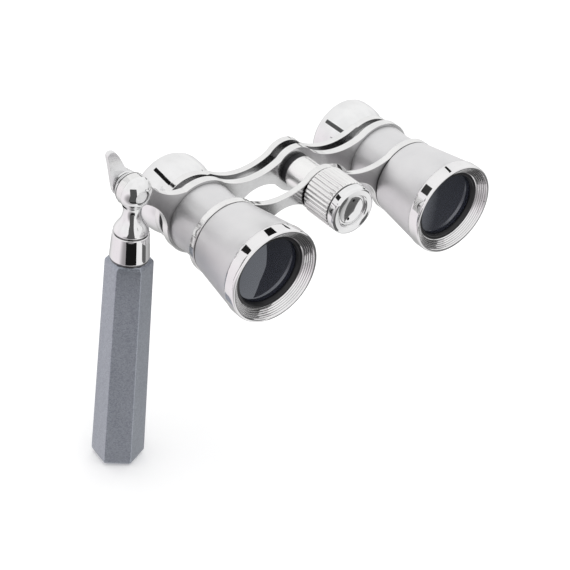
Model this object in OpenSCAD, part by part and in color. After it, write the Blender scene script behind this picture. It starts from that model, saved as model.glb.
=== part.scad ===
// Folding-handle opera glasses, millimetres, +Z up.
// Origin: midway between the two optical axes, in the plane of the front rims.
// The optical axes run along Y: objectives towards -Y, eyepieces towards +Y.
// The handle hangs from an ear at the -X end of the rear bridge.

/* [Optics] */
// distance between the two optical axes
axis_spacing = 62; // [60:0.5:65]
// outside radius of the objective bezels
bezel_r = 13.4; // [13.2:0.05:13.8]
// clear radius inside the objective retaining rings
objective_clear_r = 9.2; // [8.4:0.1:9.4]
// outside radius of the eyecups at their widest
eyecup_r = 11.15; // [10.9:0.05:11.6]
// sliding radius of the draw tubes
draw_r = 8.25; // [8.1:0.05:8.3]
// radial running clearance of the draw tubes in the barrels
draw_clear = 0.05; // [0.03:0.01:0.08]

/* [Bridges] */
// outside radius of the bridge rings round the barrels
ring_r = 10.9; // [10.6:0.1:11.1]
// thickness of the front bridge
front_bridge_t = 2.0; // [1.6:0.1:2.0]
// height of the focus axis above the optical axes
focus_z = 5.5; // [5.3:0.1:5.8]
// outside radius of the centre tube
tube_r = 4.9; // [4.7:0.1:5.2]

/* [Focus wheel] */
// outside radius of the fluted wheel
wheel_r = 7.05; // [6.8:0.05:7.3]
// number of flutes round the wheel
flutes = 36; // [28:2:44]
// depth of each flute
flute_d = 0.32; // [0.2:0.02:0.4]
// radius of the recess in the front of the wheel
recess_r = 4.55; // [4.4:0.05:4.7]

/* [Handle] */
// outward lean of the handle from vertical, in degrees
lean = 1.3; // [0:0.1:3]
// radius of the hinge ball
ball_r = 4.7; // [4.6:0.05:4.9]
// radius of the hinge screw's shank
pivot_r = 1.25; // [1.1:0.05:1.3]
// length of the six-sided grip
grip_len = 66.2; // [60:0.2:72]
// corner radius of the grip at its top
grip_top_r = 6.4; // [6.2:0.1:6.6]
// corner radius of the grip at its foot
grip_foot_r = 7.45; // [7:0.05:7.8]
// turn of the grip's flats about its own axis, in degrees
grip_turn = 4; // [0:1:8]

/* [Hidden] */
$fn = 96;
hs = axis_spacing / 2;
eps = 0.01;
// stations along the optical axes
y_cone = 3.95;       // bezel meets cone
y_fb = 20;           // front face of the front bridge
y_fb2 = y_fb + front_bridge_t;
y_rb = 31.9;         // front face of the rear bridge
y_rb2 = 34.2;
y_mb = 36.7;         // front face of the moving bridge
y_mb2 = 38.7;
y_tube2 = 30.4;      // rear end of the centre tube
seat = 0.02;         // gap left at fixed round seats
bore_r = draw_r + draw_clear;
spindle_r = 2.5;
thread_r = 2.0;
sleeve_r = 3.0;
// hinge of the handle
hx = -52.2 - (hs - 31);
hy = (y_rb + y_rb2) / 2;
hz = 14.1;
ear_t = y_rb2 - y_rb;
slot_h = ear_t / 2 + 0.12;
cheek_y = 3.3;        // flat of the rear cheek; the front one stays round
eye_r = 4.45;         // the ear's eye, which fills out the ball
// colours
satin = [0.74, 0.74, 0.76];
chrome = [0.86, 0.86, 0.87];
nickel = [0.80, 0.79, 0.77];
black = [0.03, 0.03, 0.035];
glass = [0.16, 0.17, 0.24];
steel = [0.6, 0.6, 0.62];
brass = [0.75, 0.6, 0.3];
paint = [0.60, 0.63, 0.68];

module ycyl(y0, y1, r) translate([0, y0, 0]) rotate([-90, 0, 0]) cylinder(h = y1 - y0, r = r);
module ycone(y0, y1, ra, rb) translate([0, y0, 0]) rotate([-90, 0, 0]) cylinder(h = y1 - y0, r1 = ra, r2 = rb);
module yrev() rotate([-90, 0, 0]) rotate_extrude() children();
module slab(y0, y1) translate([0, y1, 0]) rotate([90, 0, 0]) linear_extrude(height = y1 - y0) children();
module ear_pos() translate([hx, hy, hz]) children();
module handle_pos() ear_pos() rotate([0, lean, 0]) children();

// ---------- bridges ----------
// one arm from the hub to the ring at +X
module arm2d(rr) difference() {
    polygon([[hs - 1, -4], [hs - 8.8, -3.6], [11, -2], [3.2, focus_z - 5.8], [1, focus_z - 6], [1, focus_z + 6.3],
             [hs - 4, rr - 1.2], [hs - 1, rr - 1.2]]);
    translate([hs / 2 + 0.1, 25.5]) circle(r = 19);
    translate([11, -6.5]) circle(r = 10);
}
module plate(y0, y1, rr) union() {
    for (s = [-1, 1]) translate([s * hs, 0, 0]) ycyl(y0, y1, rr);
    translate([0, 0, focus_z]) ycyl(y0, y1, 6.7);
    slab(y0, y1) arm2d(rr);
    mirror([1, 0, 0]) slab(y0, y1) arm2d(rr);
}
// ear from the -X ring up to the hinge eye
module ear2d() difference() {
    union() {
        translate([hx, hz]) circle(r = 3.8);
        translate([31 - hs, 0]) polygon([[-36.5, 9.4], [-50.9, 16.9], [-54.0, 11.2], [-41.75, 0.2], [-36, -1]]);
    }
    translate([31 - hs - 37.5, 22.1]) circle(r = 12.6);
    translate([31 - hs - 54.1, -1.8]) circle(r = 12.4);
}
module front_bridge() color(chrome) difference() {
    plate(y_fb, y_fb2, ring_r + 0.2);
    for (s = [-1, 1]) translate([s * hs, 0, 0]) ycyl(y_fb - 1, y_fb2 + 1, 9.27);
    translate([0, 0, focus_z]) ycyl(y_fb - 1, y_fb2 + 1, 3.3);
}
module rear_bridge() color(chrome) difference() {
    union() {
        plate(y_rb, y_rb2, ring_r);
        slab(y_rb, y_rb2) ear2d();
        translate([hx, 0, hz]) ycyl(y_rb, y_rb2, eye_r);
    }
    for (s = [-1, 1]) translate([s * hs, 0, 0]) ycyl(y_rb - 1, y_rb2 + 1, 9.12);
    translate([0, 0, focus_z]) ycyl(y_rb - 1, y_rb2 + 1, sleeve_r + 0.06);
    translate([hx, 0, hz]) ycyl(y_rb - 1, y_rb2 + 1, pivot_r + 0.05);
}
module moving_bridge() color(chrome) difference() {
    plate(y_mb, y_mb2, 10.25);
    for (s = [-1, 1]) translate([s * hs, 0, 0]) ycyl(y_mb - 1, y_mb2 + 1, draw_r + seat);
    translate([0, 0, focus_z]) ycyl(y_mb - 1, y_mb2 + 1, sleeve_r + seat);
}

// ---------- barrels ----------
module barrel() color(satin) yrev() difference() {
    polygon([[9.25, 16.8], [9.25, y_fb2], [10.35, y_fb2], [10.3, 22.6], [10.05, 23.8], [9.85, 25.2], [9.75, 26.8],
             [9.75, 28.2], [9.8, 29.6], [9.92, 30.9], [10.05, y_rb], [9.1, y_rb], [9.1, y_rb2],
             [bore_r, y_rb2], [bore_r, 16.8]]);
}
module cone() color(satin) yrev()
    polygon([[11.65, y_cone], [13.2, y_cone], [10.95, 19.5], [10.8, 19.85], [10.6, y_fb], [9.27, y_fb], [9.27, 18.4],
             [9.6, 17.8], [10.9, 7.8], [11.65, 7.3]]);
module bezel() color(chrome) yrev()
    polygon([[12.55, 0.12], [12.75, 0], [12.95, 0], [13.2, 0.12], [bezel_r - 0.05, 0.45], [bezel_r, 0.8], [bezel_r, 3.3],
             [bezel_r - 0.08, 3.65], [13.22, y_cone], [11.63, y_cone], [11.63, 7.2], [9.35, 7.2], [9.35, 6.45],
             [10.3, 6.45], [10.3, 2.25], [10.62, 1.95], [10.74, 2.05], [11.02, 1.6], [11.14, 1.7], [11.42, 1.22],
             [11.54, 1.32], [11.82, 0.84], [11.94, 0.94], [12.2, 0.46], [12.32, 0.56]]);
module retaining_ring() color(black) yrev()
    polygon([[10.28, 2.3], [10.28, 3.6], [objective_clear_r, 3.6], [objective_clear_r, 3.2], [9.5, 2.5], [9.7, 2.3]]);
// points of a lens face from the rim to the axis: radius, vertex station, signed curvature radius
function face(r, v, R, n = 8) = [for (i = [0:n]) let (x = r * (n - i) / n) [x, v + R - sign(R) * sqrt(R * R - x * x)]];
function rface(r, v, R, n = 8) = [for (i = [0:n]) let (x = r * i / n) [x, v + R - sign(R) * sqrt(R * R - x * x)]];
module objective_lens() color(glass) yrev()
    polygon(concat([[10.28, 3.62 + 0.02], [9.25, 3.62]], face(9.15, 2.6, 42), rface(9.3, 6.1, -120), [[10.28, 6.43]]));
module left_barrel() translate([-hs, 0, 0]) barrel();
module right_barrel() translate([hs, 0, 0]) barrel();
module left_cone() translate([-hs, 0, 0]) cone();
module right_cone() translate([hs, 0, 0]) cone();
module left_bezel() translate([-hs, 0, 0]) bezel();
module right_bezel() translate([hs, 0, 0]) bezel();
module left_objective_ring() translate([-hs, 0, 0]) retaining_ring();
module right_objective_ring() translate([hs, 0, 0]) retaining_ring();
module left_objective_lens() translate([-hs, 0, 0]) objective_lens();
module right_objective_lens() translate([hs, 0, 0]) objective_lens();

// ---------- centre column ----------
module centre_tube() color(chrome) translate([0, 0, focus_z]) yrev()
    polygon([[4.3, y_fb2], [tube_r, y_fb2], [tube_r, y_tube2 - 0.5], [tube_r - 0.15, y_tube2 - 0.15],
             [tube_r - 0.5, y_tube2], [4.3, y_tube2]]);
module rear_collar() color(black) translate([0, 0, focus_z]) difference() {
    ycyl(y_tube2, y_rb, 4.7);
    ycyl(y_tube2 - 1, y_rb + 1, sleeve_r + 0.35);
}
module spindle_bush() color(brass) translate([0, 0, focus_z]) difference() {
    ycyl(y_fb, y_fb2, 3.28);
    ycyl(y_fb - 1, y_fb2 + 1, spindle_r + 0.05);
}

// ---------- focus wheel ----------
module focus_wheel() color(nickel) translate([0, 0, focus_z]) difference() {
    union() {
        slab(10.25, 19.65) difference() {
            circle(r = wheel_r);
            for (i = [0:flutes - 1]) rotate(i * 360 / flutes) translate([wheel_r + 0.12, 0]) circle(r = flute_d + 0.12);
        }
        ycyl(9.9, 10.4, 6.45);
    }
    ycyl(9, 21, spindle_r + seat);
}
module wheel_ring() color(chrome) translate([0, 0, focus_z]) yrev()
    polygon([[recess_r, 7.55], [recess_r + 0.25, 7.3], [6.2, 7.2], [6.6, 7.32], [6.85, 7.6], [6.95, 8.0], [6.95, 9.6],
             [6.75, 9.9], [spindle_r + seat, 9.9], [spindle_r + seat, 9.1], [recess_r, 9.1]]);
module wheel_cap() color(chrome) translate([0, 0, focus_z]) difference() {
    yrev() polygon([[0, 8.45], [2.2, 8.32], [4.1, 8.1], [4.5, 8.2], [4.5, 9.1], [0, 9.1]]);
    rotate([0, 12, 0]) for (s = [-1, 1]) translate([0, 0, s * 2.75]) ycyl(7.9, 8.9, 0.42);
}
module focus_spindle() color(steel) translate([0, 0, focus_z]) difference() {
    union() {
        ycyl(9.1, 22.95, spindle_r);
        ycyl(22.9, 37.7, thread_r);
        ycone(37.7, 38, thread_r, thread_r - 0.3);
    }
    // turned grooves that stand for the thread's run-out
    for (y = [23.4, 24.2]) difference() {
        ycyl(y, y + 0.3, 2.2);
        ycyl(y - 1, y + 1, 1.8);
    }
}
module thrust_washer() color(brass) translate([0, 0, focus_z]) difference() {
    ycyl(19.67, 19.93, 5.2);
    ycyl(19, 21, spindle_r + seat);
}
module spindle_clip() color(steel) translate([0, 0, focus_z]) difference() {
    ycyl(y_fb2 + 0.1, y_fb2 + 0.85, 3.85);
    ycyl(21, 24, spindle_r + seat);
    translate([-0.9, y_fb2 - 1, 0]) cube([1.8, 3, 6]);
}

// ---------- eyepiece unit ----------
module draw_tube() color(chrome) yrev()
    polygon([[7.3, 20.6], [draw_r - 0.2, 20.6], [draw_r, 20.8], [draw_r, 42.5], [7.3, 42.5]]);
module eyecup() color(chrome) yrev()
    polygon([[draw_r + seat, y_mb2], [9.3, y_mb2], [9.45, 39.2], [9.85, 40.0], [10.35, 41.0], [10.75, 42.1],
             [11.0, 43.3], [eyecup_r - 0.05, 44.4], [eyecup_r, 45.0], [eyecup_r, 46.9], [eyecup_r - 0.1, 47.6],
             [10.75, 48.2], [10.3, 48.55], [9.7, 48.75], [9.0, 48.75], [8.4, 48.5], [5.9, 46.7], [5.6, 46.45],
             [5.6, 45.95], [7.05, 45.95], [7.05, 42.5], [draw_r + seat, 42.5]]);
module eye_lens() color(glass) yrev()
    polygon(concat([[7.03, 43.3]], face(6.2, 44.0, -28), rface(5.6, 45.2, 28), [[7.03, 45.93]]));
module eye_ring() color(black) difference() {
    ycyl(42.55, 43.3, 7.03);
    ycyl(42, 44, 6.2);
}
module left_draw_tube() translate([-hs, 0, 0]) draw_tube();
module right_draw_tube() translate([hs, 0, 0]) draw_tube();
module left_eyecup() translate([-hs, 0, 0]) eyecup();
module right_eyecup() translate([hs, 0, 0]) eyecup();
module left_eye_lens() translate([-hs, 0, 0]) eye_lens();
module right_eye_lens() translate([hs, 0, 0]) eye_lens();
module left_eye_ring() translate([-hs, 0, 0]) eye_ring();
module right_eye_ring() translate([hs, 0, 0]) eye_ring();
module spindle_nut() color(nickel) translate([0, 0, focus_z]) difference() {
    union() {
        ycyl(25.2, 39, sleeve_r);
        yrev() polygon([[0, y_mb2], [4.7, y_mb2], [4.8, 38.9], [4.8, 39.4], [4.5, 39.8], [3.7, 40.7], [2.9, 41.4],
                        [1.8, 41.95], [0, 42.2]]);
    }
    ycyl(24, 40.5, thread_r + 0.05);
}

// ---------- handle ----------
module knuckle() color(chrome) handle_pos() difference() {
    union() {
        intersection() {
            sphere(r = ball_r);
            translate([-6, -6, -6]) cube([12, 6 + cheek_y, 12]);
        }
        rotate_extrude() polygon([[0, -3.2], [3.25, -3.35], [2.8, -4.0], [2.5, -4.9], [2.4, -5.8], [2.45, -6.7],
            [2.7, -7.7], [3.15, -8.7], [3.75, -9.6], [4.25, -10.4], [4.55, -11.1], [4.62, -11.5], [4.5, -11.85],
            [3.9, -11.85], [0, -11.85]]);
    }
    // slot for the ear, left solid below the ball
    difference() {
        ycyl(-slot_h, slot_h, 7);
        translate([-2.6, -4, -12]) cube([5.2, 8, 7.5]);
    }
    ycyl(-slot_h, slot_h, 5.0);
    ycyl(-6, 6, pivot_r + seat);
    ycyl(-6, -2.4, 2.05);
    translate([0, 0, -12]) cylinder(h = 2.4, r = 2.02);
}
module ferrule() color(chrome) handle_pos() difference() {
    rotate_extrude() polygon([[0, -11.85], [4.1, -11.85], [4.1, -12.05], [4.7, -12.15], [4.85, -12.35], [4.95, -14],
        [5.3, -19.2], [5.25, -19.45], [0, -19.45]]);
    translate([0, 0, -20]) cylinder(h = 9, r = 2.02);
}
module ferrule_ring() color(steel) handle_pos() difference() {
    translate([0, 0, -20.1]) cylinder(h = 0.65, r = 5.12);
    translate([0, 0, -21]) cylinder(h = 2, r = 2.02);
}
module hex_grip() color(paint) handle_pos() difference() {
    rotate([0, 0, 30 - grip_turn]) union() {
        translate([0, 0, -20.9]) cylinder(h = 0.8, r1 = grip_top_r, r2 = 5.5, $fn = 6);
        translate([0, 0, -20.1 - grip_len + 0.9]) cylinder(h = grip_len - 1.7, r1 = grip_foot_r, r2 = grip_top_r, $fn = 6);
        translate([0, 0, -20.1 - grip_len]) cylinder(h = 0.9, r1 = grip_foot_r - 0.9, r2 = grip_foot_r, $fn = 6);
    }
    translate([0, 0, -34]) cylinder(h = 15, r = 2.02);
}
module handle_stud() color(steel) handle_pos() translate([0, 0, -33]) cylinder(h = 23.2, r = 2.0);
module pivot_screw() color(chrome) handle_pos() {
    ycone(-3.62, -3.5, 1.65, 1.95);
    ycyl(-3.5, -2.4, 1.95);
    ycyl(-2.5, 5.75, pivot_r);
    ycone(5.75, 6.0, pivot_r, pivot_r - 0.25);
}

// ---------- thumb lever on the tail of the hinge screw ----------
module clamp_lever() color(chrome) ear_pos() difference() {
    union() {
        yrev() polygon([[0, cheek_y + 0.15], [3.4, cheek_y + 0.15], [3.7, cheek_y + 0.4], [3.7, 4.6], [3.2, 5.2], [2.2, 5.4], [0, 5.4]]);
        slab(3.75, 5.15) union() {
            polygon([[-3.3, -1.5], [-3.75, 0.5], [-4.2, 3], [-4.7, 6], [-5.35, 9.0], [-5.3, 9.6], [-4.9, 10.05], [-4.2, 10.2],
                     [-3.4, 10.0], [-2.75, 9.4], [-2.0, 8.3], [-1.1, 6.7], [-0.3, 5.1], [0.5, 4.1], [1.6, 3.3], [0, 0]]);
        }
    }
    ycyl(2, 7, pivot_r + 0.05);
}

front_bridge();
rear_bridge();
left_barrel();
right_barrel();
left_cone();
right_cone();
left_bezel();
right_bezel();
left_objective_ring();
right_objective_ring();
left_objective_lens();
right_objective_lens();
centre_tube();
rear_collar();
spindle_bush();
focus_wheel();
wheel_ring();
wheel_cap();
focus_spindle();
thrust_washer();
spindle_clip();
moving_bridge();
left_draw_tube();
right_draw_tube();
left_eyecup();
right_eyecup();
left_eye_lens();
right_eye_lens();
left_eye_ring();
right_eye_ring();
spindle_nut();
knuckle();
ferrule();
ferrule_ring();
hex_grip();
handle_stud();
pivot_screw();
clamp_lever();
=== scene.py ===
import math
import bpy
import bmesh
from mathutils import Matrix, Vector


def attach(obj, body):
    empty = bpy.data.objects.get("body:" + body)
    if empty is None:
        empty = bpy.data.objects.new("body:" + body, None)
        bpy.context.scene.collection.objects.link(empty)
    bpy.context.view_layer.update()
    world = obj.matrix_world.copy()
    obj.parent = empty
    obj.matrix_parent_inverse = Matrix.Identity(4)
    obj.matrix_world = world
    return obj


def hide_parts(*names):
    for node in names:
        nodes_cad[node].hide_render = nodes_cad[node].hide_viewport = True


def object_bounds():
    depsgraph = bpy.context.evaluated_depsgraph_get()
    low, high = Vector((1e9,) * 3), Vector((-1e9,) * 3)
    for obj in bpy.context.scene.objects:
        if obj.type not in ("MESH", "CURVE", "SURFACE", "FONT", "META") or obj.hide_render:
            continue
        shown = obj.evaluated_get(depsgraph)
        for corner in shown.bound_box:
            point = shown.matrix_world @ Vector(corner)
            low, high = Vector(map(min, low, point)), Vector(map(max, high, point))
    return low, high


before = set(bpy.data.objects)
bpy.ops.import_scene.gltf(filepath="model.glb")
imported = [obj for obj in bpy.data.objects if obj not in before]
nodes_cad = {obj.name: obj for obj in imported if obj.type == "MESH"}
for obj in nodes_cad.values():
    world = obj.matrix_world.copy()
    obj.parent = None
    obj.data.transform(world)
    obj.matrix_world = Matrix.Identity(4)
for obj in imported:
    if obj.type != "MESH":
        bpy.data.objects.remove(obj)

cad_lo, cad_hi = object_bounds()
scene = bpy.context.scene
MM = 0.001
HS = 31.0            # half the spacing of the optical axes
FZ = 5.5             # height of the focus axis
HX, HY, HZ = -52.2, 33.05, 14.1
LEAN = 1.3


# ---------------------------------------------------------------- mesh helpers
def soften(pts, rad=0.12, n=4, turn=14.0, keep=()):
    """A closed polygon with its corners rounded by arcs; keep holds the indices left sharp."""
    out, m = [], len(pts)
    for i in range(m):
        p = Vector(pts[i][:2])
        a = Vector(pts[i - 1][:2]) - p
        b = Vector(pts[(i + 1) % m][:2]) - p
        la, lb = a.length, b.length
        if i in keep or p.x < 1e-6 or la < 1e-6 or lb < 1e-6:
            out.append((p.x, p.y))
            continue
        a.normalize()
        b.normalize()
        ang = math.pi - a.angle(b)
        if ang < math.radians(turn):
            out.append((p.x, p.y))
            continue
        t = min(rad * math.tan(ang / 2), 0.42 * la, 0.42 * lb)
        s, e = p + a * t, p + b * t
        for k in range(n + 1):
            u = k / n
            q = s * (1 - u) ** 2 + p * (2 * u * (1 - u)) + e * u * u
            out.append((q.x, q.y))
    return out


def subdivide_long(pts, step):
    """Adds points along edges longer than step, so that long faces keep their own normals."""
    out, m = [], len(pts)
    for i in range(m):
        p, q = Vector(pts[i]), Vector(pts[(i + 1) % m])
        out.append(tuple(p))
        d = (q - p).length
        k = int(d / step)
        if k >= 1 and d > step * 1.5:
            for j in range(1, k + 1):
                u = j / (k + 1)
                out.append(tuple(p.lerp(q, u)))
    return out


def new_object(name, bm, smooth=True):
    me = bpy.data.meshes.new(name)
    bm.to_mesh(me)
    bm.free()
    o = bpy.data.objects.new(name, me)
    scene.collection.objects.link(o)
    if smooth:
        for p in me.polygons:
            p.use_smooth = True
    return o


def sharp_by_angle(o, deg):
    me = o.data
    bm = bmesh.new()
    bm.from_mesh(me)
    lim = math.radians(deg)
    for e in bm.edges:
        e.smooth = not (len(e.link_faces) != 2 or e.calc_face_angle(0) > lim)
    bm.to_mesh(me)
    bm.free()


def weighted(o):
    m = o.modifiers.new("even_normals", "WEIGHTED_NORMAL")
    m.mode = "FACE_AREA"
    m.weight = 60
    m.keep_sharp = True
    return o


def apply_all(o):
    dg = bpy.context.evaluated_depsgraph_get()
    me = bpy.data.meshes.new_from_object(o.evaluated_get(dg), preserve_all_data_layers=True, depsgraph=dg)
    old = o.data
    o.modifiers.clear()
    o.data = me
    me.name = o.name
    bpy.data.meshes.remove(old)
    return o


def lathe_bm(pts, segs=144, place=None, rfun=None, along="Y"):
    """A closed profile of (radius, station) turned about an axis. UV: u is round the axis, v along the profile, in mm."""
    bm = bmesh.new()
    uv = bm.loops.layers.uv.new("turn")
    rings = []
    for (r, s) in pts:
        if r < 1e-6:
            co = Vector((0, s, 0)) if along == "Y" else Vector((0, 0, s))
            rings.append([bm.verts.new(co)])
            continue
        ring = []
        for k in range(segs):
            th = 2 * math.pi * k / segs
            rr = rfun(r, s, th) if rfun else r
            if along == "Y":
                co = Vector((rr * math.cos(th), s, rr * math.sin(th)))
            else:
                co = Vector((rr * math.cos(th), rr * math.sin(th), s))
            ring.append(bm.verts.new(co))
        rings.append(ring)
    arc, total = [0.0], 0.0
    m = len(pts)
    for i in range(m):
        a, b = pts[i], pts[(i + 1) % m]
        total += math.hypot(a[0] - b[0], a[1] - b[1])
        arc.append(total)
    rmax = max(p[0] for p in pts)
    for i in range(m):
        a, b = rings[i], rings[(i + 1) % m]
        va, vb = arc[i], arc[i + 1]
        if len(a) == 1 and len(b) == 1:
            continue
        for k in range(segs):
            k2 = (k + 1) % segs
            u0, u1 = rmax * 2 * math.pi * k / segs, rmax * 2 * math.pi * (k + 1) / segs
            if len(a) == 1:
                vs, uvs = [a[0], b[k2], b[k]], [(u0, va), (u1, vb), (u0, vb)]
            elif len(b) == 1:
                vs, uvs = [a[k], a[k2], b[0]], [(u0, va), (u1, va), (u0, vb)]
            else:
                vs, uvs = [a[k], a[k2], b[k2], b[k]], [(u0, va), (u1, va), (u1, vb), (u0, vb)]
            f = bm.faces.new(vs)
            for lp, c in zip(f.loops, uvs):
                lp[uv].uv = c
    bmesh.ops.recalc_face_normals(bm, faces=bm.faces)
    if place is not None:
        bmesh.ops.transform(bm, matrix=place, verts=bm.verts)
    bmesh.ops.scale(bm, vec=(MM, MM, MM), verts=bm.verts)
    return bm


def lathe(name, pts, segs=144, place=None, rad=0.12, n=4, rfun=None, along="Y", keep=(), step=None, turn=14.0):
    prof = soften(pts, rad, n, turn, keep) if rad else [tuple(p[:2]) for p in pts]
    if step:
        prof = subdivide_long(prof, step)
    return weighted(new_object(name, lathe_bm(prof, segs, place, rfun, along)))


def at(x, z):
    return Matrix.Translation((x, 0, z))


HINGE = Matrix.Translation((HX, HY, HZ))
HANDLE = HINGE @ Matrix.Rotation(math.radians(LEAN), 4, "Y")


def from_cad(name, node, bevel=0.22, segs=3, angle=40.0, dissolve=0.6):
    """A piece with the CAD node's outline and rounded edges, made from a copy of its mesh."""
    me = nodes_cad[node].data.copy()
    o = bpy.data.objects.new(name, me)
    me.name = name
    scene.collection.objects.link(o)
    bm = bmesh.new()
    bm.from_mesh(me)
    bmesh.ops.remove_doubles(bm, verts=bm.verts, dist=0.004 * MM)
    bmesh.ops.dissolve_limit(bm, angle_limit=math.radians(dissolve), verts=bm.verts, edges=bm.edges)
    bmesh.ops.recalc_face_normals(bm, faces=bm.faces)
    bm.to_mesh(me)
    bm.free()
    if me.has_custom_normals:
        try:
            me.attributes.remove(me.attributes["custom_normal"])
        except Exception:
            pass
    me.materials.clear()
    for p in me.polygons:
        p.use_smooth = True
    b = o.modifiers.new("edges", "BEVEL")
    b.limit_method = "ANGLE"
    b.angle_limit = math.radians(angle)
    b.width = bevel * MM
    b.segments = segs
    b.profile = 0.5
    b.use_clamp_overlap = True
    b.harden_normals = False
    b.miter_outer = "MITER_ARC"
    apply_all(o)
    sharp_by_angle(o, 32)
    return weighted(o)


def boolean(a, b, op):
    m = a.modifiers.new("cut", "BOOLEAN")
    m.operation = op
    m.solver = "EXACT"
    m.object = b
    apply_all(a)
    bpy.data.objects.remove(b)
    return a


# ---------------------------------------------------------------- materials
def base_material(name):
    m = bpy.data.materials.new(name)
    m.use_nodes = True
    nt = m.node_tree
    nt.nodes.clear()
    out = nt.nodes.new("ShaderNodeOutputMaterial")
    p = nt.nodes.new("ShaderNodeBsdfPrincipled")
    nt.links.new(p.outputs["BSDF"], out.inputs["Surface"])
    return m, nt, p


def noise(nt, vec, scale, detail=2.0, rough=0.5, distortion=0.0):
    n = nt.nodes.new("ShaderNodeTexNoise")
    n.inputs["Scale"].default_value = scale
    n.inputs["Detail"].default_value = detail
    n.inputs["Roughness"].default_value = rough
    n.inputs["Distortion"].default_value = distortion
    nt.links.new(vec, n.inputs["Vector"])
    return n.outputs["Fac"]


def remap(nt, val, a, b, c, d):
    n = nt.nodes.new("ShaderNodeMapRange")
    n.inputs["From Min"].default_value = a
    n.inputs["From Max"].default_value = b
    n.inputs["To Min"].default_value = c
    n.inputs["To Max"].default_value = d
    nt.links.new(val, n.inputs["Value"])
    return n.outputs["Result"]


def mapping(nt, vec, scale):
    n = nt.nodes.new("ShaderNodeMapping")
    n.inputs["Scale"].default_value = scale
    nt.links.new(vec, n.inputs["Vector"])
    return n.outputs["Vector"]


def mix_colour(nt, fac, c1, c2):
    n = nt.nodes.new("ShaderNodeMix")
    n.data_type = "RGBA"
    nt.links.new(fac, n.inputs["Factor"])
    n.inputs["A"].default_value = (*c1, 1)
    n.inputs["B"].default_value = (*c2, 1)
    return n.outputs["Result"]


def math_node(nt, op, a, b=None):
    n = nt.nodes.new("ShaderNodeMath")
    n.operation = op
    for i, v in enumerate((a, b)):
        if v is None:
            continue
        if isinstance(v, (int, float)):
            n.inputs[i].default_value = v
        else:
            nt.links.new(v, n.inputs[i])
    return n.outputs["Value"]


def bump(nt, height, strength, distance, p):
    n = nt.nodes.new("ShaderNodeBump")
    n.inputs["Strength"].default_value = strength
    n.inputs["Distance"].default_value = distance
    nt.links.new(height, n.inputs["Height"])
    nt.links.new(n.outputs["Normal"], p.inputs["Normal"])


def painted_gap_shade(nt, colour, reach, dark, low=0.25, high=0.95):
    """Painted shade: the colour darkened by ambient occlusion where other surfaces stand within reach (mm)."""
    ao = nt.nodes.new("ShaderNodeAmbientOcclusion")
    ao.samples = 8
    ao.inputs["Distance"].default_value = reach * MM
    k = remap(nt, ao.outputs["AO"], low, high, dark, 1.0)
    n = nt.nodes.new("ShaderNodeMix")
    n.data_type = "RGBA"
    n.blend_type = "MULTIPLY"
    n.inputs["Factor"].default_value = 1.0
    nt.links.new(colour, n.inputs["A"])
    nt.links.new(k, n.inputs["B"])
    return n.outputs["Result"]


def metal(name, c1, c2, rough, rough_var, grain=None, grain_strength=0.1, turned=None, turned_strength=0.0, cloud=120.0, painted_shade=None):
    """Metal with a clouded tint, uneven roughness, and either a blasted grain or fine turning lines; when given,
    painted shade darkens the colour in gaps, grooves and near other parts.
    """
    m, nt, p = base_material(name)
    tc = nt.nodes.new("ShaderNodeTexCoord")
    obj = tc.outputs["Object"]
    p.inputs["Metallic"].default_value = 1.0
    low = noise(nt, obj, cloud, 3.0, 0.55)
    tint = mix_colour(nt, remap(nt, low, 0.3, 0.7, 0, 1), c1, c2)
    # painted shade: the tint darkened by ambient occlusion in gaps, grooves and beside other parts
    if painted_shade:
        tint = painted_gap_shade(nt, tint, *painted_shade)
    nt.links.new(tint, p.inputs["Base Color"])
    mid = noise(nt, obj, cloud * 9, 4.0, 0.6)
    fine = None
    if grain:
        fine = noise(nt, obj, grain, 2.0, 0.6)
        r = math_node(nt, "ADD", remap(nt, mid, 0.25, 0.75, rough - rough_var, rough + rough_var),
                      remap(nt, fine, 0.2, 0.8, -rough_var, rough_var))
        nt.links.new(r, p.inputs["Roughness"])
        bump(nt, fine, grain_strength, 0.00006, p)
    if turned:
        uv = nt.nodes.new("ShaderNodeUVMap")
        uv.uv_map = "turn"
        lines = noise(nt, mapping(nt, uv.outputs["UV"], (0.02, turned, 1.0)), 1.0, 4.0, 0.7)
        r = math_node(nt, "ADD", remap(nt, mid, 0.25, 0.75, rough - rough_var, rough + rough_var),
                      remap(nt, lines, 0.2, 0.8, -rough_var * 0.8, rough_var * 0.8))
        nt.links.new(r, p.inputs["Roughness"])
        bump(nt, lines, turned_strength, 0.00002, p)
    if not grain and not turned:
        scr = noise(nt, mapping(nt, obj, (900.0, 260.0, 900.0)), 1.0, 5.0, 0.7)
        r = math_node(nt, "ADD", remap(nt, mid, 0.25, 0.75, rough - rough_var, rough + rough_var),
                      remap(nt, scr, 0.35, 0.75, -rough_var * 0.5, rough_var))
        nt.links.new(r, p.inputs["Roughness"])
        bump(nt, mid, 0.015, 0.00003, p)
    return m


CHROME = metal("chrome_plate", (0.90, 0.90, 0.90), (0.85, 0.85, 0.855), 0.04, 0.015)
CHROME_TURNED = metal("chrome_turned", (0.90, 0.90, 0.90), (0.84, 0.84, 0.845), 0.05, 0.02, turned=9.0, turned_strength=0.05)
EDGE = metal("polished_edge", (0.90, 0.895, 0.89), (0.84, 0.84, 0.835), 0.11, 0.03)
# painted shade: darker where the cones and barrels meet the bridges and other parts
SATIN = metal("satin_silver", (0.83, 0.825, 0.83), (0.785, 0.78, 0.79), 0.46, 0.04, grain=5200.0, grain_strength=0.14,
              painted_shade=(6.0, 0.42))
# painted shade: darker between the bridge plates and beside the barrels
SATIN_PLATE = metal("satin_plate", (0.70, 0.70, 0.70), (0.64, 0.64, 0.645), 0.20, 0.04, grain=4200.0, grain_strength=0.04,
                    painted_shade=(3.5, 0.20, 0.10, 0.80))
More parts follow.
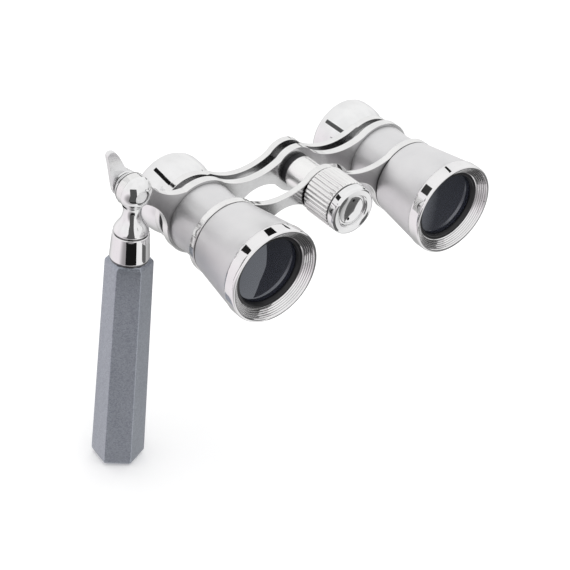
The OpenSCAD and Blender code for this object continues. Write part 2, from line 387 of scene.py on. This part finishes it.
# painted shade: darker in the focus wheel's flutes and beside other parts
NICKEL = metal("bright_nickel", (0.94, 0.935, 0.93), (0.89, 0.885, 0.88), 0.14, 0.04, turned=5.0, turned_strength=0.06,
               painted_shade=(0.8, 0.16, 0.26, 0.8))
# painted shade: darker in the bezel ribs and the ferrule groove
RIBBED = metal("chrome_ribbed", (0.90, 0.89, 0.895), (0.85, 0.845, 0.85), 0.045, 0.015, painted_shade=(0.7, 0.55, 0.45, 0.95))
POLISHED = metal("soft_polish", (0.97, 0.965, 0.96), (0.93, 0.925, 0.92), 0.24, 0.03, turned=7.0, turned_strength=0.03)
HEAD = metal("screw_head_silver", (0.93, 0.93, 0.93), (0.88, 0.88, 0.88), 0.42, 0.05, turned=6.0, turned_strength=0.03)
LEVER = metal("lever_polish", (0.88, 0.88, 0.885), (0.84, 0.84, 0.845), 0.22, 0.02)
HEAD.node_tree.nodes["Principled BSDF"].inputs["Metallic"].default_value = 0.35
STEEL = metal("turned_steel", (0.58, 0.58, 0.60), (0.48, 0.48, 0.50), 0.26, 0.07)
BRASS = metal("plain_brass", (0.72, 0.55, 0.26), (0.62, 0.45, 0.20), 0.28, 0.08)
DARK_METAL = metal("dark_seam_metal", (0.20, 0.20, 0.205), (0.14, 0.14, 0.145), 0.22, 0.06)


def black_finish():
    m, nt, p = base_material("black_anodised")
    tc = nt.nodes.new("ShaderNodeTexCoord")
    obj = tc.outputs["Object"]
    low = noise(nt, obj, 300.0, 3.0)
    nt.links.new(mix_colour(nt, remap(nt, low, 0.3, 0.7, 0, 1), (0.006, 0.006, 0.007), (0.014, 0.014, 0.016)), p.inputs["Base Color"])
    fine = noise(nt, obj, 5200.0, 3.0, 0.6)
    nt.links.new(remap(nt, fine, 0.2, 0.8, 0.24, 0.42), p.inputs["Roughness"])
    bump(nt, fine, 0.12, 0.00004, p)
    return m


def lens_glass():
    m, nt, p = base_material("coated_lens")
    tc = nt.nodes.new("ShaderNodeTexCoord")
    obj = tc.outputs["Object"]
    low = noise(nt, obj, 90.0, 2.0)
    # painted sheen: the glass colour turns lighter and bluer where the lens is seen edge-on
    painted_rim_sheen = nt.nodes.new("ShaderNodeLayerWeight")
    painted_rim_sheen.inputs["Blend"].default_value = 0.35
    tint = mix_colour(nt, painted_rim_sheen.outputs["Facing"], (0.004, 0.004, 0.007), (0.020, 0.023, 0.036))
    n = nt.nodes.new("ShaderNodeMix")
    n.data_type = "RGBA"
    n.blend_type = "MULTIPLY"
    n.inputs["Factor"].default_value = 1.0
    nt.links.new(tint, n.inputs["A"])
    nt.links.new(mix_colour(nt, remap(nt, low, 0.3, 0.7, 0, 1), (0.85, 0.85, 0.95), (1, 1, 1)), n.inputs["B"])
    nt.links.new(n.outputs["Result"], p.inputs["Base Color"])
    p.inputs["IOR"].default_value = 2.15
    p.inputs["Specular Tint"].default_value = (0.86, 0.91, 1.0, 1)
    smear = noise(nt, mapping(nt, obj, (300.0, 300.0, 700.0)), 1.0, 4.0, 0.6)
    nt.links.new(remap(nt, smear, 0.35, 0.75, 0.004, 0.022), p.inputs["Roughness"])
    return m


def grip_paint():
    m, nt, p = base_material("pearl_paint")
    tc = nt.nodes.new("ShaderNodeTexCoord")
    obj = tc.outputs["Object"]
    v = nt.nodes.new("ShaderNodeTexVoronoi")
    v.inputs["Scale"].default_value = 3600.0
    nt.links.new(obj, v.inputs["Vector"])
    sep = nt.nodes.new("ShaderNodeSeparateColor")
    nt.links.new(v.outputs["Color"], sep.inputs["Color"])
    flake = sep.outputs["Red"]
    low = noise(nt, mapping(nt, obj, (160.0, 160.0, 40.0)), 1.0, 3.0)
    base = mix_colour(nt, remap(nt, low, 0.3, 0.7, 0, 1), (0.33, 0.355, 0.405), (0.37, 0.395, 0.445))
    spark = mix_colour(nt, remap(nt, flake, 0.0, 1.0, 0, 1), (0.80, 0.80, 0.82), (1.18, 1.18, 1.16))
    n = nt.nodes.new("ShaderNodeMix")
    n.data_type = "RGBA"
    n.blend_type = "MULTIPLY"
    n.clamp_result = False
    n.inputs["Factor"].default_value = 1.0
    nt.links.new(base, n.inputs["A"])
    nt.links.new(spark, n.inputs["B"])
    nt.links.new(n.outputs["Result"], p.inputs["Base Color"])
    p.inputs["Metallic"].default_value = 0.75
    nt.links.new(remap(nt, flake, 0, 1, 0.30, 0.44), p.inputs["Roughness"])
    p.inputs["Coat Weight"].default_value = 0.35
    p.inputs["Coat Roughness"].default_value = 0.12
    n2 = nt.nodes.new("ShaderNodeBump")
    n2.inputs["Strength"].default_value = 0.10
    n2.inputs["Distance"].default_value = 0.00003
    nt.links.new(flake, n2.inputs["Height"])
    nt.links.new(n2.outputs["Normal"], p.inputs["Normal"])
    return m


BLACK = black_finish()
LENS = lens_glass()
PAINT = grip_paint()


def finish_piece(o, body, slot, mats, *nodes):
    o.data.materials.clear()
    for m in (mats if isinstance(mats, (list, tuple)) else [mats]):
        o.data.materials.append(m)
    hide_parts(*nodes)
    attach(o, body)
    return o


# ---------------------------------------------------------------- barrels and bezels
CONE = [[11.65, 3.95], [13.2, 3.95], [10.95, 19.5], [10.8, 19.85], [10.6, 20], [9.27, 20], [9.27, 18.4],
        [9.6, 17.8], [10.9, 7.8], [11.65, 7.3]]
BARREL = [[9.25, 16.8], [9.25, 22], [10.35, 22], [10.3, 22.6], [10.05, 23.8], [9.85, 25.2], [9.75, 26.8],
          [9.75, 28.2], [9.8, 29.6], [9.92, 30.9], [10.05, 31.9], [9.1, 31.9], [9.1, 34.2], [8.3, 34.2], [8.3, 16.8]]
BEZEL = [[12.55, .12], [12.75, 0], [12.95, 0], [13.2, .12], [13.35, .45], [13.4, .8], [13.4, 3.3], [13.32, 3.65],
         [13.22, 3.93], [11.63, 3.95], [11.63, 7.2], [9.35, 7.2], [9.35, 6.45], [10.3, 6.45], [10.3, 2.25],
         [10.60, 1.98], [10.78, 2.20], [11.00, 1.60], [11.18, 1.83], [11.40, 1.22], [11.58, 1.45], [11.80, .84],
         [11.98, 1.07], [12.18, .46], [12.34, .66]]
RING = [[10.28, 2.3], [10.28, 3.6], [9.2, 3.6], [9.2, 3.2], [9.5, 2.5], [9.7, 2.3]]


def face(r, v, R, n=14):
    return [(r * (n - i) / n, v + R - math.copysign(1, R) * math.sqrt(R * R - (r * (n - i) / n) ** 2)) for i in range(n + 1)]


def rface(r, v, R, n=14):
    return [(r * i / n, v + R - math.copysign(1, R) * math.sqrt(R * R - (r * i / n) ** 2)) for i in range(n + 1)]


OLENS = [(10.28, 3.64), (9.25, 3.62)] + face(9.15, 2.6, 42) + rface(9.3, 6.1, -120) + [(10.28, 6.43)]
ELENS = [(7.03, 43.3)] + face(6.2, 44.0, -28) + rface(5.6, 45.2, 28) + [(7.03, 45.93)]
ERING = [(6.2, 42.55), (7.03, 42.55), (7.03, 43.3), (6.2, 43.3)]
DRAW = [[7.3, 20.6], [8.05, 20.6], [8.25, 20.8], [8.25, 42.5], [7.3, 42.5]]
EYECUP = [[8.27, 38.7], [9.3, 38.7], [9.45, 39.2], [9.85, 40.0], [10.35, 41.0], [10.75, 42.1], [11.0, 43.3],
          [11.1, 44.4], [11.15, 45.0], [11.15, 46.9], [11.05, 47.6], [10.75, 48.2], [10.3, 48.55], [9.7, 48.75],
          [9.0, 48.75], [8.4, 48.5], [5.9, 46.7], [5.6, 46.45], [5.6, 45.95], [7.05, 45.95], [7.05, 42.5], [8.27, 42.5]]

for side, sx in (("left", -1), ("right", 1)):
    P = at(sx * HS, 0)
    finish_piece(lathe(side + "_cone_shell", CONE, 160, P, 0.10, step=2.5), "chassis", "satin", SATIN, side + "_cone")
    finish_piece(lathe(side + "_barrel_shell", BARREL, 160, P, 0.06, step=2.5, turn=25), "chassis", "satin", SATIN, side + "_barrel")
    finish_piece(lathe(side + "_bezel_turned", BEZEL, 192, P, 0.09, n=3, step=1.2, turn=9), "chassis", "chrome", RIBBED, side + "_bezel")
    finish_piece(lathe(side + "_retaining_ring", RING, 144, P, 0.07), "chassis", "black", BLACK, side + "_objective_ring")
    finish_piece(lathe(side + "_objective_glass", OLENS, 144, P, 0.05, turn=30), "chassis", "lens", LENS, side + "_objective_lens")
    finish_piece(lathe(side + "_draw_tube_polished", DRAW, 144, P, 0.08, step=3), "eyepiece_unit", "chrome", CHROME_TURNED, side + "_draw_tube")
    finish_piece(lathe(side + "_eyecup_polished", EYECUP, 176, P, 0.25, n=3, turn=9, step=2), "eyepiece_unit", "chrome", CHROME, side + "_eyecup")
    finish_piece(lathe(side + "_eye_glass", ELENS, 120, P, 0.05, turn=30), "eyepiece_unit", "lens", LENS, side + "_eye_lens")
    finish_piece(lathe(side + "_eye_retainer", ERING, 120, P, 0.06), "eyepiece_unit", "black", BLACK, side + "_eye_ring")


# ---------------------------------------------------------------- bridges
def bridge(name, node, body):
    o = from_cad(name, node, 0.24, 3, 42)
    apply_all(o)
    for m in (EDGE, SATIN_PLATE):
        o.data.materials.append(m)
    for p in o.data.polygons:
        p.material_index = 1 if abs(p.normal.y) > 0.97 else 0
    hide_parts(node)
    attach(o, body)
    return o


bridge("front_bridge_plate", "front_bridge", "chassis")
bridge("rear_bridge_plate", "rear_bridge", "chassis")
bridge("moving_bridge_plate", "moving_bridge", "eyepiece_unit")

# ---------------------------------------------------------------- centre column
C = at(0, FZ)
TUBE = [[4.3, 22], [4.9, 22], [4.9, 29.9], [4.75, 30.25], [4.4, 30.4], [4.3, 30.4]]
COLLAR = [[3.35, 30.4], [4.7, 30.4], [4.7, 31.9], [3.35, 31.9]]
finish_piece(lathe("centre_tube_polished", TUBE, 128, C, 0.12, step=2), "chassis", "chrome", POLISHED, "centre_tube")
finish_piece(lathe("rear_collar_black", COLLAR, 96, C, 0.08), "chassis", "black", BLACK, "rear_collar")

FL, WR = 36, 7.05
PITCH = 2 * math.pi / FL


def flute(r, y, th):
    s = (((th / PITCH) + 0.5) % 1.0 - 0.5) * PITCH * WR   # distance from the flute's middle, mm
    c2 = 0.44 ** 2 - s * s
    surf = WR + 0.12 - math.sqrt(c2) if c2 > 0 else WR
    edge = max(0.0, 0.52 - abs(s)) * 0.35 if abs(s) > 0.41 else 0.0
    surf = min(surf, WR - edge * 0.6) if abs(s) > 0.41 else min(surf, WR - 0.022)
    return min(r, surf)


WHEEL = [[2.52, 9.9], [6.45, 9.9], [6.45, 10.25], [6.62, 10.25], [6.85, 10.33], [7.0, 10.55], [7.05, 10.85], [7.05, 12.5],
         [7.05, 15], [7.05, 17.4], [7.05, 19.05], [7.0, 19.35], [6.85, 19.57], [6.62, 19.65], [2.52, 19.65]]
w = new_object("focus_wheel_fluted", lathe_bm([tuple(p) for p in WHEEL], FL * 16, C, flute))
sharp_by_angle(w, 45)
weighted(w)
finish_piece(w, "focus_wheel", "nickel", NICKEL, "focus_wheel")
WRING = [[4.55, 7.55], [4.8, 7.3], [6.2, 7.2], [6.6, 7.32], [6.85, 7.6], [6.95, 8.0], [6.95, 9.6], [6.75, 9.9],
         [2.52, 9.9], [2.52, 9.1], [4.55, 9.1]]
finish_piece(lathe("focus_wheel_ring", WRING, 144, C, 0.14, turn=9), "focus_wheel", "chrome", CHROME_TURNED, "wheel_ring")
CAP = [(4.1 * k / 12, 8.1 + 0.35 * (1 - (k / 12) ** 2)) for k in range(13)] + [(4.5, 8.15), (4.5, 9.1), (0, 9.1)]
cap = lathe("focus_wheel_cap", CAP, 128, C, 0.08, turn=30)
apply_all(cap)
for s in (-1, 1):
    T = C @ Matrix.Rotation(math.radians(12), 4, "Y") @ Matrix.Translation((0, 0, s * 2.75))
    drill = lathe("drill", [(0, 7.9), (0.42, 7.9), (0.42, 8.85), (0, 8.9)], 32, T, 0)
    apply_all(drill)
    boolean(cap, drill, "DIFFERENCE")
sharp_by_angle(cap, 35)
finish_piece(cap, "focus_wheel", "chrome", [CHROME, BLACK], "wheel_cap")
# painted shade: the walls and floors of the two drilled holes take the black finish
for f in cap.data.polygons:
    x, y, z = f.center.x / MM, f.center.y / MM, f.center.z / MM - FZ
    dish = 8.1 + 0.35 * (1 - (x * x + z * z) / 4.1 ** 2)
    for s in (-1, 1):
        hx, hz = s * 2.75 * math.sin(math.radians(12)), s * 2.75 * math.cos(math.radians(12))
        if math.hypot(x - hx, z - hz) < 0.47 and y > dish + 0.02 and y < 8.98:
            f.material_index = 1
NUT = [[3.0, 25.2], [3.0, 38.7], [4.7, 38.7], [4.8, 38.9], [4.8, 39.4], [4.5, 39.8], [3.7, 40.7], [2.9, 41.4], [1.8, 41.95],
       [0.9, 42.14], [0, 42.2], [0, 40.5], [2.05, 40.5], [2.05, 25.2]]
finish_piece(lathe("spindle_nut_domed", NUT, 112, C, 0.14, turn=20), "eyepiece_unit", "nickel", NICKEL, "spindle_nut")

# ---------------------------------------------------------------- handle
NECK = [[0, -3.0], [3.05, -3.0], [3.25, -3.35], [3.0, -3.68], [2.8, -4], [2.62, -4.42], [2.5, -4.9], [2.42, -5.35], [2.4, -5.8], [2.41, -6.25],
        [2.45, -6.7], [2.55, -7.2], [2.7, -7.7], [2.9, -8.2], [3.15, -8.7], [3.44, -9.17], [3.75, -9.6], [4.02, -10.02],
        [4.25, -10.4], [4.43, -10.78], [4.55, -11.1], [4.61, -11.3], [4.62, -11.5], [4.58, -11.72], [4.5, -11.85], [0, -11.85]]
a0 = math.asin(3.3 / 4.7)
ball = [(4.7 * math.cos(t), 4.7 * math.sin(t)) for t in [-math.pi / 2 + (math.pi / 2 + a0) * k / 44 for k in range(45)]]
ball[0] = (0, -4.7)
ball += [(0, 3.3)]
k1 = lathe("knuckle_polished", soften(ball, 0.16, 3, 25), 160, HINGE, 0)
apply_all(k1)
k2 = lathe("neck", NECK, 144, HANDLE, 0, along="Z")
apply_all(k2)
boolean(k1, k2, "UNION")
k3 = lathe("slot", [(0, -1.27), (5.0, -1.27), (5.0, 1.27), (0, 1.27)], 120, HINGE, 0)
apply_all(k3)
boolean(k1, k3, "DIFFERENCE")
k4 = lathe("counterbore", [(0, -6), (2.05, -6), (2.05, -2.4), (0, -2.4)], 96, HINGE, 0)
apply_all(k4)
boolean(k1, k4, "DIFFERENCE")
sharp_by_angle(k1, 28)
finish_piece(k1, "handle", "chrome", CHROME, "knuckle")
SCREW = [[0, -3.62], [0.9, -3.62], [1.62, -3.6], [1.82, -3.5], [1.93, -3.3], [1.95, -2.4], [1.25, -2.4], [1.25, 5.75], [1.0, 6.0], [0, 6.0]]
finish_piece(lathe("pivot_screw_head", SCREW, 112, HINGE, 0.10), "handle", "chrome", HEAD, "pivot_screw")
FERRULE = [[0, -11.85], [4.0, -11.85], [4.0, -12.2], [4.66, -12.26], [4.84, -12.42], [4.95, -14], [5.3, -19.2],
           [5.25, -19.45], [0, -19.45]]
finish_piece(lathe("ferrule_polished", FERRULE, 144, HANDLE, 0.10, along="Z", step=1.5), "handle", "chrome", RIBBED, "ferrule")
FRING = [(2.02, -19.45), (5.12, -19.45), (5.12, -20.1), (2.02, -20.1)]
finish_piece(lathe("ferrule_seam_ring", FRING, 128, HANDLE, 0.08, along="Z"), "handle", "steel", DARK_METAL, "ferrule_ring")


def hex_grip():
    bm = bmesh.new()
    top, foot = -20.1, -86.3
    stations = [(top, 5.3, 0.35), (top - 0.02, 5.62, 0.4), (top - 0.36, 5.95, 0.5), (top - 0.62, 6.22, 0.55), (top - 0.84, 6.36, 0.55),
                (top - 1.1, 6.405, 0.5), (top - 1.6, 6.412, 0.45)]
    z0, r0, z1, r1 = -20.9, 6.4, -85.4, 7.45
    for k in range(1, 24):
        z = -21.9 + (-84.6 + 21.9) * k / 24
        stations.append((z, r0 + (r1 - r0) * (z - z0) / (z1 - z0), 0.45))
    stations += [(-84.9, 7.43, 0.45), (-85.2, 7.41, 0.5), (-85.5, 7.30, 0.55), (-85.8, 7.08, 0.6), (-86.05, 6.8, 0.6), (-86.22, 6.5, 0.55),
                 (-86.29, 6.2, 0.5), (foot, 5.9, 0.4)]
    rings = []
    for z, R, rho in stations:
        ring = []
        d = R - rho / math.cos(math.radians(30))
        for c in range(6):
            a = math.radians(60 * c + 26)
            cx, cy = d * math.cos(a), d * math.sin(a)
            for j in range(7):
                t = a + math.radians(-30 + 10 * j)
                ring.append(Vector((cx + rho * math.cos(t), cy + rho * math.sin(t), z)))
            nxt = math.radians(60 * (c + 1) + 26)
            e0 = ring[-1].copy()
            e1 = Vector((d * math.cos(nxt) + rho * math.cos(nxt - math.radians(30)), d * math.sin(nxt) + rho * math.sin(nxt - math.radians(30)), z))
            for j in range(1, 4):
                ring.append(e0.lerp(e1, j / 4))
        rings.append([bm.verts.new(v) for v in ring])
    for a, b in zip(rings, rings[1:]):
        for k in range(len(a)):
            k2 = (k + 1) % len(a)
            bm.faces.new([a[k], a[k2], b[k2], b[k]])
    bm.faces.new(rings[0])
    bm.faces.new(list(reversed(rings[-1])))
    bmesh.ops.recalc_face_normals(bm, faces=bm.faces)
    bmesh.ops.transform(bm, matrix=HANDLE, verts=bm.verts)
    bmesh.ops.scale(bm, vec=(MM, MM, MM), verts=bm.verts)
    return weighted(new_object("hex_grip_painted", bm))


finish_piece(hex_grip(), "handle", "grip_paint", PAINT, "hex_grip")

lever = from_cad("thumb_lever_polished", "clamp_lever", 0.30, 4, 38)
finish_piece(apply_all(lever), "thumb_lever", "chrome", LEVER, "clamp_lever")

# CAD nodes whose shapes are right keep them, with their own finishes
for n, m in (("spindle_bush", BRASS), ("focus_spindle", STEEL), ("thrust_washer", BRASS), ("spindle_clip", STEEL),
             ("handle_stud", STEEL)):
    o = nodes_cad[n]
    if o.data.materials:
        for i in range(len(o.data.materials)):
            o.data.materials[i] = m
    else:
        o.data.materials.append(m)

# ---------------------------------------------------------------- floor
bm = bmesh.new()
N = 24
S = 3.0
grid = [[bm.verts.new((-S + 2 * S * i / N, -S + 2 * S * j / N, cad_lo.z - 0.0002)) for j in range(N + 1)] for i in range(N + 1)]
for i in range(N):
    for j in range(N):
        bm.faces.new([grid[i][j], grid[i + 1][j], grid[i + 1][j + 1], grid[i][j + 1]])
floor = new_object("studio_floor", bm)
fm, nt, p = base_material("pale_floor")
tc = nt.nodes.new("ShaderNodeTexCoord")
nt.links.new(mix_colour(nt, noise(nt, tc.outputs["Object"], 3.0, 2.0), (0.93, 0.93, 0.93), (0.95, 0.95, 0.95)), p.inputs["Base Color"])
p.inputs["Roughness"].default_value = 0.9
p.inputs["Specular IOR Level"].default_value = 0.1
p.inputs["Emission Color"].default_value = (1, 1, 1, 1)
p.inputs["Emission Strength"].default_value = 0.14
floor.data.materials.append(fm)
floor.visible_glossy = False

# ---------------------------------------------------------------- flags: small dark cards held close to the polished parts
FLAGS = [
    # name, levels (one, or one per corner), corners row by row in mm, corners per row
    ("flag_left_bezel_a", 0.008, [(-29.8, 12.9, 21.5), (-25.0, 13.0, 20.1), (-32.0, 6.1, 22.2), (-26.2, 5.8, 21.0)], 2),
    ("flag_left_bezel_b", 0.015, [(-43.1, 12.8, 18.9), (-47.1, 12.7, 15.9), (-44.4, 5.9, 18.5), (-46.7, 5.8, 16.5)], 2),
    ("flag_right_bezel_a", 0.008, [(33.9, 12.2, 21.3), (32.4, 12.1, 21.6), (31.2, 5.0, 22.3), (29.4, 5.0, 22.5)], 2),
    ("flag_right_bezel_b", 0.04, [(15.9, 12.0, 17.5), (11.7, 12.2, 12.7), (15.4, 5.3, 17.2), (11.4, 5.1, 12.6)], 2),
    ("flag_left_eyecup", 0.01, [(-39.1, 53.9, 17.8), (-41.6, 53.8, 16.6), (-40.3, 49.3, 19.1), (-42.9, 49.2, 17.8), (-41.2, 41.9, 20.0),
                                (-43.9, 41.8, 18.5), (-40.7, 37.4, 19.2), (-43.5, 37.3, 17.6), (-40.4, 34.5, 18.7), (-43.2, 34.4, 17.1)], 2),
    ("flag_right_eyecup", 0.10, [(16.9, 54.5, 14.7), (14.9, 54.5, 12.4), (15.9, 50.2, 15.7), (13.7, 50.1, 13.3), (15.5, 46.0, 16.2), (13.2, 45.9, 13.7),
                                 (15.7, 39.7, 16.2), (13.3, 39.7, 13.6), (16.7, 36.2, 15.5), (14.2, 36.3, 12.9)], 2),
    ("flag_ferrule", 0.01, [(-75.8, 18.2, -6.0), (-53.4, 5.6, -6.0), (-74.4, 16.0, -19.0), (-52.2, 5.8, -19.0)], 2),
    ("flag_ball", 0.09, [(-69.5, 22.6, 28.5), (-57.4, 12.9, 29.5), (-72.5, 16.0, 14.0), (-59.0, 6.4, 14.8), (-73.5, 21.5, -4.0), (-57.2, 10.1, -4.0)], 2),
    ("flag_wheel_ring", 0.02, [(-12.5, 18.6, 17.3), (-8.2, 18.7, 20.1), (-14.0, 12.1, 15.6), (-10.4, 11.7, 18.6)], 2),
    ("flag_wheel_cap", 0.12, [(18.1, -3.6, -11.2), (16.7, -9.8, -11.5), (18.6, -10.5, -8.8), (17.0, -12.3, -9.7)], 2),
    ("flag_left_lens", 0.13, [(-22.0, -14.0, 8.5), (-2.0, -5.0, 5.0), (-22.1, -12.8, 0.35), (-1.5, -3.0, -2.0), (-22.3, -11.6, -7.4),
                              (0.0, 1.0, -10.0), (-24.8, -9.8, -14.7), (0.0, 6.0, -18.0), (-25.7, -7.6, -19.7), (-4.0, 9.0, -26.0),
                              (-27.0, -4.0, -27.0), (-10.0, 10.0, -34.0)], 2),
    ("flag_right_lens", (0.75, 0.19, 0.10) * 4, [(37.0, -28.0, 5.0), (46.0, -25.5, 3.0), (70.0, -13.0, 2.0), (36.0, -26.6, -3.4), (45.0, -24.0, -4.0),
                         (69.0, -10.0, -8.0), (34.5, -21.5, -20.4), (44.0, -18.5, -18.0), (71.0, 0.4, -21.5), (34.0, -15.0, -33.0), (45.0, -12.0, -31.0), (65.0, 9.3, -37.5)], 3),
]
for name, level, corners, wide in FLAGS:
    bm = bmesh.new()
    vs = [bm.verts.new(Vector(c) * MM) for c in corners]
    col = bm.loops.layers.float_color.new("level")
    for r in range(len(corners) // wide - 1):
        for c in range(wide - 1):
            ids = [r * wide + c, r * wide + c + 1, (r + 1) * wide + c + 1, (r + 1) * wide + c]
            f = bm.faces.new([vs[i] for i in ids])
            for lp, i in zip(f.loops, ids):
                v = level[i] if isinstance(level, tuple) else level
                lp[col] = (v, v, v, 1)
    o = new_object(name, bm, smooth=False)
    m = bpy.data.materials.new(name)
    m.use_nodes = True
    nt = m.node_tree
    nt.nodes.clear()
    out = nt.nodes.new("ShaderNodeOutputMaterial")
    em = nt.nodes.new("ShaderNodeEmission")
    at_ = nt.nodes.new("ShaderNodeAttribute")
    at_.attribute_name = "level"
    tc = nt.nodes.new("ShaderNodeTexCoord")
    cloth = remap(nt, noise(nt, tc.outputs["Object"], 400.0, 2.0), 0.3, 0.7, 0.9, 1.1)
    nt.links.new(at_.outputs["Color"], em.inputs["Color"])
    nt.links.new(cloth, em.inputs["Strength"])
    nt.links.new(em.outputs["Emission"], out.inputs["Surface"])
    m.cycles.emission_sampling = "NONE"
    o.data.materials.append(m)
    o.visible_camera = False
    o.visible_diffuse = False
    o.visible_shadow = False
    o.visible_transmission = False
    o.visible_volume_scatter = False

# ---------------------------------------------------------------- studio: a white tent, duller low down behind the glasses
world = bpy.data.worlds.new("tent")
scene.world = world
world.use_nodes = True
nt = world.node_tree
nt.nodes.clear()
out = nt.nodes.new("ShaderNodeOutputWorld")
tc = nt.nodes.new("ShaderNodeTexCoord")
sep = nt.nodes.new("ShaderNodeSeparateXYZ")
nt.links.new(tc.outputs["Generated"], sep.inputs["Vector"])
X, Y, Z = sep.outputs


def ramp(v, a, b):
    n = nt.nodes.new("ShaderNodeMapRange")
    n.interpolation_type = "SMOOTHSTEP"
    n.inputs["From Min"].default_value = a
    n.inputs["From Max"].default_value = b
    nt.links.new(v, n.inputs["Value"])
    return n.outputs["Result"]


def dim(value, mask, depth):
    return math_node(nt, "MULTIPLY", value, math_node(nt, "SUBTRACT", 1.0, math_node(nt, "MULTIPLY", mask, depth)))


def toward(azimuth, elevation, outer, inner):
    """A soft round patch of the tent: 1 at its middle, 0 beyond outer degrees."""
    a, e = math.radians(azimuth), math.radians(elevation)
    d = (math.sin(a) * math.cos(e), -math.cos(a) * math.cos(e), math.sin(e))
    n = nt.nodes.new("ShaderNodeVectorMath")
    n.operation = "DOT_PRODUCT"
    nt.links.new(tc.outputs["Generated"], n.inputs[0])
    n.inputs[1].default_value = d
    return ramp(n.outputs["Value"], math.cos(math.radians(outer)), math.cos(math.radians(inner)))


level = remap(nt, Z, -1, 1, 0.93, 0.99)
low_back = math_node(nt, "MULTIPLY", ramp(Z, 0.15, -0.75), ramp(Y, -0.35, 0.6))
level = dim(level, math_node(nt, "MULTIPLY", low_back, ramp(X, -0.55, 0.2)), 0.48)
level = dim(level, toward(-46, -30, 46, 14), 0.62)
level = dim(level, toward(88, -28, 40, 12), 0.45)
level = dim(level, remap(nt, noise(nt, tc.outputs["Generated"], 1.7, 1.0), 0.35, 0.65, 0, 1), 0.07)
tint = mix_colour(nt, math_node(nt, "MULTIPLY", ramp(X, 0.2, -0.8), ramp(Z, 0.7, -0.2)), (1.0, 1.0, 1.0), (1.0, 0.955, 0.985))
lp = nt.nodes.new("ShaderNodeLightPath")
bg_seen = nt.nodes.new("ShaderNodeBackground")
bg_seen.inputs["Color"].default_value = (1, 1, 1, 1)
bg_seen.inputs["Strength"].default_value = 1.0
bg = nt.nodes.new("ShaderNodeBackground")
nt.links.new(tint, bg.inputs["Color"])
nt.links.new(level, bg.inputs["Strength"])
mixs = nt.nodes.new("ShaderNodeMixShader")
nt.links.new(lp.outputs["Is Camera Ray"], mixs.inputs["Fac"])
nt.links.new(bg.outputs["Background"], mixs.inputs[1])
nt.links.new(bg_seen.outputs["Background"], mixs.inputs[2])
nt.links.new(mixs.outputs["Shader"], out.inputs["Surface"])


def area(name, loc, target, size, power):
    l = bpy.data.lights.new(name, "AREA")
    l.shape = "RECTANGLE"
    l.size, l.size_y = size
    l.energy = power
    o = bpy.data.objects.new(name, l)
    o.location = loc
    o.rotation_mode = "QUATERNION"
    o.rotation_quaternion = (Vector(target) - Vector(loc)).to_track_quat("-Z", "Y")
    scene.collection.objects.link(o)
    o.visible_glossy = False
    return o


area("soft_top", (0.25, 0.05, 0.75), (0, 0.02, 0), (1.0, 1.0), 2.0)

# ---------------------------------------------------------------- camera
cam = bpy.data.cameras.new("camera")
co = bpy.data.objects.new("camera", cam)
scene.collection.objects.link(co)
R2 = Vector((0.7822, -0.6160, 0.0936)).normalized()
BACK = Vector((-0.5467, -0.6064, 0.5774)).normalized()
U2 = BACK.cross(R2).normalized()
R2 = U2.cross(BACK).normalized()
loc = Vector((-0.2276, -0.2218, 0.2076))
co.matrix_world = Matrix(((R2.x, U2.x, BACK.x, loc.x), (R2.y, U2.y, BACK.y, loc.y), (R2.z, U2.z, BACK.z, loc.z), (0, 0, 0, 1)))
cam.sensor_width = 36.0
cam.lens = 1447.03 / 570 * 36
cam.clip_start, cam.clip_end = 0.01, 20
cam.dof.use_dof = False
scene.camera = co
scene.view_settings.view_transform = "Standard"
scene.view_settings.look = "None"
scene.view_settings.exposure = 0.0
scene.view_settings.gamma = 1.0

bpy.context.view_layer.update()
